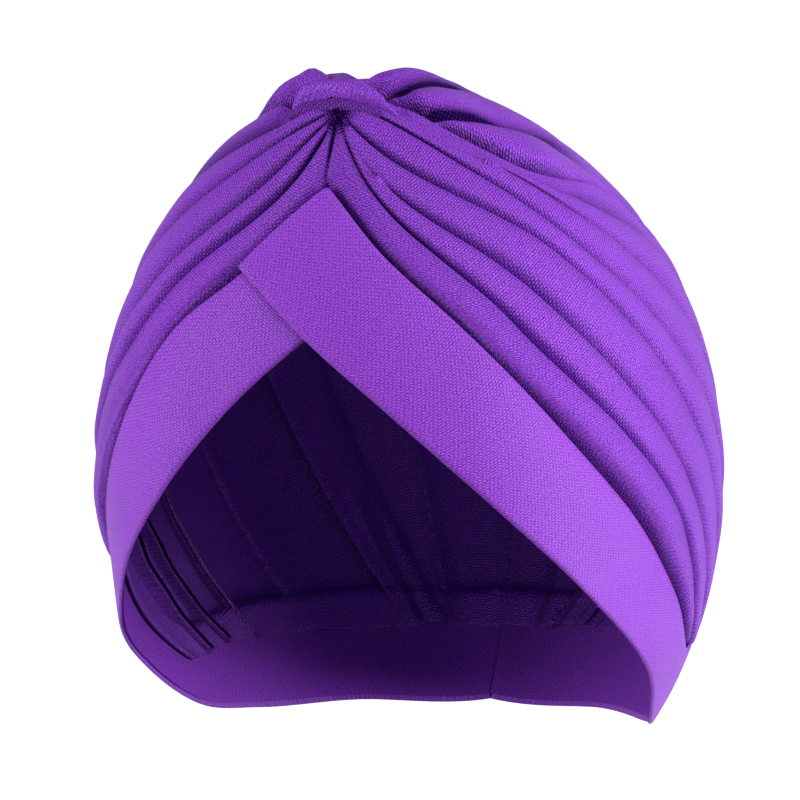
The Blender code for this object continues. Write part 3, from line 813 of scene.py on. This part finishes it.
# One layer of jersey, whose stitches stand out, and the band's two layers, which lie smoother
# Both darken towards the same dark bluish colour, between the stitches and in painted shade
pleated = knitted_jersey("knitted polyester jersey, pleated", "A248EA", "15053A", 0.3 * MM, 1.9)
folded = knitted_jersey("knitted polyester jersey, folded double", "A84CEA", "15053A", 0.12 * MM, 1.5)

# The last number says how far the stitches are drawn apart
pleats_right = cloth_piece("pleats_right", *side_panel(RIGHT_FOLDS, 1), JERSEY, pleated, 0.95)
pleats_left = cloth_piece("pleats_left", *side_panel(LEFT_FOLDS, -1), JERSEY, pleated, 0.95)
crown = cloth_piece("crown", *crown_panel(), JERSEY, pleated, 1.1)
band_right = cloth_piece("band_right", *band(RIGHT_BAND, False), BAND_CLOTH, folded, 0.9)
band_left = cloth_piece("band_left", *band(LEFT_BAND, True), BAND_CLOTH, folded, 0.9)
strap = cloth_piece("strap", *knot_strap(), JERSEY, pleated, 1.0)

# Each piece's solid, and the width and length of its cloth laid flat, in metres
for piece, solid, width, length, held in (
    (pleats_right, "side_pleats_right", 0.16, 0.24, "gathered"),
    (pleats_left, "side_pleats_left", 0.16, 0.24, "gathered"),
    (crown, "crown_cloth", 0.16, 0.30, "gathered"),
    (band_right, "brow_band_right", 0.034, 0.31, "stretched"),
    (band_left, "brow_band_left", 0.034, 0.29, "stretched"),
    (strap, "knot_strap", 0.014, 0.05, "folded"),
):
    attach(piece, "root")
    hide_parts(solid)

add_sweep()

# The photo's frame: 0.285 mm to a pixel over 800 pixels, and the turban a little right of and above its
# middle
CAMERA_AZIMUTH = 18
CAMERA_ELEVATION = 2
CAMERA_DISTANCE = 1.2
PIXELS = 800
PIXEL_SIZE = 0.285 * MM
SHIFT_PIXELS = (-10.5, -7)
SENSOR = 36
AIM = Vector((0, 0, -86.9 * MM))

back = Vector(ray(CAMERA_AZIMUTH, CAMERA_ELEVATION))
right = Vector(ray(CAMERA_AZIMUTH + 90, 0))
up = back.cross(right)
lens = bpy.data.cameras.new("camera")
lens.sensor_width = SENSOR
lens.lens = SENSOR * CAMERA_DISTANCE / (PIXELS * PIXEL_SIZE)
lens.shift_x, lens.shift_y = (shift / PIXELS for shift in SHIFT_PIXELS)
camera = bpy.data.objects.new("camera", lens)
bpy.context.scene.collection.objects.link(camera)
facing = Matrix((right, up, back)).transposed().to_4x4()
camera.matrix_world = Matrix.Translation(AIM + back * CAMERA_DISTANCE) @ facing
bpy.context.scene.camera = camera

# Each soft light's power in watts, the side of its square, and its place from the aim: towards the camera,
# to the right and up, in metres
Light = namedtuple("Light", "name power size back right up")
for light in (
    Light("key", 19.5, 0.6, 0.5, 1.0, -0.1),
    Light("top", 7.5, 0.7, 0.6, 0.0, 0.95),
    Light("left fill", 23.5, 0.9, 0.3, -1.15, -0.2),
    Light("right rim", 18, 0.7, -0.35, 1.05, -0.5),
):
    lamp = bpy.data.lights.new(light.name, "AREA")
    lamp.energy = light.power
    lamp.size = light.size
    holder = bpy.data.objects.new(light.name, lamp)
    bpy.context.scene.collection.objects.link(holder)
    holder.location = AIM + back * light.back + right * light.right + up * light.up
    holder.rotation_euler = (AIM - holder.location).to_track_quat("-Z", "Y").to_euler()

world = bpy.data.worlds.new("studio")
world.use_nodes = True
world.node_tree.nodes["Background"].inputs["Color"].default_value = (1, 1, 1, 1)
world.node_tree.nodes["Background"].inputs["Strength"].default_value = 0.10
bpy.context.scene.world = world
bpy.context.scene.view_settings.view_transform = "Standard"
